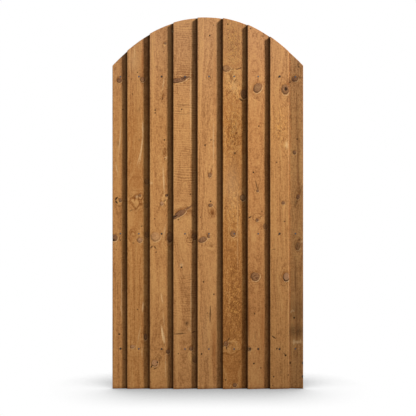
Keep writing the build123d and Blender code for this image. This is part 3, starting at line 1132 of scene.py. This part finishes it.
def cut_sockets(piece, lines):
    """Bores a slanting hollow down past the head of each skew nail."""
    bm = bmesh.new()
    for head, tip in lines:
        out = (head - tip).normalized()
        bored = bmesh.ops.create_cone(
            bm,
            cap_ends=True,
            segments=24,
            radius1=socket_radius,
            radius2=socket_flare * socket_radius,
            depth=socket_length,
        )["verts"]
        place = Matrix.Translation(head + out * (socket_length / 2 - under_head))
        turn = out.to_track_quat("Z", "Y").to_matrix().to_4x4()
        bmesh.ops.transform(bm, matrix=place @ turn, verts=bored)
    bit = object_from(bm, "bit")
    bore = piece.modifiers.new("sockets", "BOOLEAN")
    bore.operation, bore.solver, bore.object = "DIFFERENCE", "EXACT", bit
    cut = piece.evaluated_get(bpy.context.evaluated_depsgraph_get())
    mesh = bpy.data.meshes.new_from_object(cut)
    piece.modifiers.clear()
    piece.data = mesh
    bpy.data.objects.remove(bit)


for number, (node, kind) in enumerate(rail_stock.items(), start=1):
    lower_left, lower_right, upper_left = rail_corners(node)
    low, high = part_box(node)
    if "ledge" in node:
        start, far, side = lower_left, lower_right, upper_left
        across_way = Vector((0, 0, 1))
    else:
        start, far, side = lower_left, upper_left, lower_right
        run = (far - start).normalized()
        across_way = Vector((run.z, 0, -run.x))
    along_way = (far - start).normalized()

    def rail_shape(across, along, depth):
        return start.lerp(side, across) + (far - start) * along + Vector((0, (high.y - low.y) * depth, 0))

    width, length = abs((side - start).dot(across_way)), (far - start).length
    piece = slab(f"sawn_{node}", width, length, rail_cell, rail_shape)
    found = list(random_knots(length / MM, width / MM, seed=200 + number))
    carve(piece, start, across_way, along_way, kind, found, 100 + 10 * number)
    piece.data.materials.append(sawn_softwood(f"sawn softwood, {node.replace('_', ' ')}", kind.colour))
    if f"{node}_nails" in nails:
        cut_sockets(piece, nails[f"{node}_nails"])
    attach(piece, "root")
    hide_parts(node)
    triangles = sum(len(p.vertices) - 2 for p in piece.data.polygons)
    print(piece.name, "length, mm:", round(length / MM), "triangles:", triangles)

# %% [markdown]
# ## Wire nails
# A round wire nail is cut from a coil, and its head is hammered up cold, so the head is a thin disc
# with a rounded rim. Hot zinc makes it blue-grey, and a wet, tannin-rich dip turns some heads nearly
# black. Each nail is made where its CAD solid lies.

# %% Make the nails
head_radius, head_thickness = 3.25 * MM, 1.0 * MM
shank_radius, point_length = 1.325 * MM, 4.0 * MM
rim_radius = 0.3 * MM
grey_tarnish, black_tarnish = 0.2, 0.8


def drive_nail(bm, head, tip):
    """Adds one nail to a bmesh: a bevelled head, a shank and a point, from its head to its tip."""
    length = (tip - head).length
    turn = (tip - head).to_track_quat("Z", "Y").to_matrix().to_4x4()
    sections = (
        (head_radius, head_radius, 0, head_thickness),
        (shank_radius, shank_radius, head_thickness, length - point_length),
        (shank_radius, 0, length - point_length, length),
    )
    for first, last, low, high in sections:
        made = bmesh.ops.create_cone(
            bm, cap_ends=True, segments=20, radius1=first, radius2=last, depth=high - low
        )["verts"]
        if first == last == head_radius:
            edges = {e for v in made for e in v.link_edges}
            level = [e for e in edges if abs(e.verts[0].co.z - e.verts[1].co.z) < hair]
            rim = [e for e in level if all(v.co.xy.length > head_radius - hair for v in e.verts)]
            done = bmesh.ops.bevel(
                bm, geom=rim, offset=rim_radius, segments=2, profile=0.5, affect="EDGES", material=-1
            )
            made = list({v for f in done["faces"] for v in f.verts} | {v for v in made if v.is_valid})
        bmesh.ops.translate(bm, verts=made, vec=(0, 0, (low + high) / 2))
        bmesh.ops.transform(bm, matrix=Matrix.Translation(head) @ turn, verts=made)


dark_zinc, pale_zinc, iron_black = "#333e48", "#62717f", "#0d0d0c"
spangle_size = 1.5 * MM  # the crystals of the zinc
zinc, tree = new_material("hot-dip galvanised wire nail, dull")
tarnish = add(tree, "ShaderNodeAttribute", attribute_name="tarnish").outputs["Fac"]
place = add(tree, "ShaderNodeTexCoord").outputs["Object"]
spangle = add(tree, "ShaderNodeTexNoise", {"Vector": place, "Scale": 1 / spangle_size, "Detail": 2.0})
tone = add(tree, "ShaderNodeMapRange", {"Value": spangle, "From Min": 0.35, "From Max": 0.65})
clean_mix = {0: tone, 6: linear(dark_zinc), 7: linear(pale_zinc)}
clean_zinc = add(tree, "ShaderNodeMix", clean_mix, data_type="RGBA")
head_mix = {0: tarnish, 6: clean_zinc, 7: linear(iron_black)}
head_colour = add(tree, "ShaderNodeMix", head_mix, data_type="RGBA")
surface = {"Base Color": head_colour, "Metallic": 0.6, "Roughness": 0.6}
shader = add(tree, "ShaderNodeBsdfPrincipled", surface)
add(tree, "ShaderNodeOutputMaterial", {0: shader})

for node, lines in nails.items():
    bm = bmesh.new()
    counts = []
    for head, tip in lines:
        drive_nail(bm, head, tip)
        counts.append(len(bm.verts))
    bmesh.ops.recalc_face_normals(bm, faces=bm.faces[:])
    piece = object_from(bm, f"wire_{node}")
    shades = np.zeros(len(piece.data.vertices))
    black_ones = tarnished.get(node.removesuffix("_nails"), ())
    # A bevel frees places that later points fill, so a few, nearly all hidden, get another nail's shade
    for number, (first, end) in enumerate(zip([0] + counts, counts)):
        shades[first:end] = black_tarnish if number in black_ones else grey_tarnish
    keep(piece.data, "tarnish", "FLOAT", "value", shades)
    piece.data.materials.append(zinc)
    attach(piece, "root")
    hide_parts(node)
    length = (lines[0][1] - lines[0][0]).length
    print(piece.name, "nails:", len(lines), "length, mm:", round(length / MM, 1))

# %% [markdown]
# ## Light and floor
# The key light is low and comes from the upper right, so each thick edge throws a narrow shadow on
# its neighbour. It is a far lamp with a soft cone that is aimed high, so the boards' feet are a
# little dimmer than their tops. The white studio round the gate fills the shadows, and a weak lamp
# behind shows the rails. The floor and the backdrop are white to the camera, and the gate's soft
# contact shadow is painted into the floor's glow, from how much of the open room each point sees.

# %% Lights
key_way = Vector((0.79, -0.29, 0.55)).normalized()
key_distance = 12.0
key_aim = Vector((0, 0, 1.35))
key_strength = 6.7  # watts on a square metre that faces the lamp
penumbra = radians(8.0)  # how wide the lamp looks from the gate
cone = radians(16.0)  # of light, brightest in its middle
back_lamp, back_strength, back_spread = (2, 6, 4), 2.2, radians(20)  # place, strength, softness
room_light = 0.28


def lamp(name, kind, place, aim, energy, **settings):
    """A lamp at a place that shines towards a point."""
    data = bpy.data.lights.new(name, kind)
    data.energy = energy
    for setting, value in settings.items():
        setattr(data, setting, value)
    made = bpy.data.objects.new(name, data)
    made.location = place
    made.rotation_euler = (Vector(aim) - Vector(place)).to_track_quat("-Z", "Y").to_euler()
    bpy.context.scene.collection.objects.link(made)


lamp(
    "key",
    "SPOT",
    key_aim + key_way * key_distance,
    key_aim,
    key_strength * 4 * pi * key_distance**2,
    shadow_soft_size=key_distance * tan(penumbra / 2),
    spot_size=cone,
    spot_blend=1.0,
)
lamp("behind", "SUN", back_lamp, (0, 0, 1), back_strength, angle=back_spread)

white = "#ffffff"
world = bpy.data.worlds.new("white studio")
bpy.context.scene.world = world
world.use_nodes = True
sky = world.node_tree
sky.nodes.clear()


def seen_directly(tree):
    """1 for rays that a viewer sees, straight on, mirrored or through glass, and 0 for light."""
    path = add(tree, "ShaderNodeLightPath").outputs
    seen = path["Is Camera Ray"]
    for other in ("Is Glossy Ray", "Is Transmission Ray"):
        seen = add(tree, "ShaderNodeMath", {0: seen, 1: path[other]}, operation="MAXIMUM")
    return seen


strength = add(sky, "ShaderNodeMapRange", {"Value": seen_directly(sky), "To Min": room_light})
background = add(sky, "ShaderNodeBackground", {"Color": linear(white), "Strength": strength})
add(sky, "ShaderNodeOutputWorld", {0: background})

# %% Floor
floor_reach = 6  # metres from the gate
shadow_reach = 0.36  # how far the painted contact shadow spreads
shadow_depth = {"From Min": 0.0, "From Max": 0.13, "To Min": 1.25, "To Max": 3.5}  # how deep the painted shadow is, before and behind the gate

bm = bmesh.new()
bmesh.ops.create_grid(bm, x_segments=1, y_segments=1, size=floor_reach)
floor = object_from(bm, "floor")
paper, tree = new_material("white paper floor")
open_sky = add(tree, "ShaderNodeAmbientOcclusion", {"Distance": shadow_reach}, samples=8).outputs["AO"]
place = add(tree, "ShaderNodeTexCoord").outputs["Object"]
back = add(tree, "ShaderNodeSeparateXYZ", {0: place}).outputs[1]
depth = add(tree, "ShaderNodeMapRange", {"Value": back, **shadow_depth})
# the gate's contact shadow, painted into the floor's glow
shade = add(tree, "ShaderNodeMath", {0: open_sky, 1: depth}, operation="POWER")
lit = add(tree, "ShaderNodeEmission", {"Color": linear(white), "Strength": shade})
matt = add(tree, "ShaderNodeBsdfDiffuse", {"Color": linear("#909090")})
mixed = add(tree, "ShaderNodeMixShader", {0: seen_directly(tree), 1: matt, 2: lit})
add(tree, "ShaderNodeOutputMaterial", {0: mixed})
floor.data.materials.append(paper)

# %% [markdown]
# ## View settings
# The view settings stay plain. The CAD model's box was printed when it was loaded.

# %% Finish
bpy.context.scene.view_settings.view_transform = "Standard"
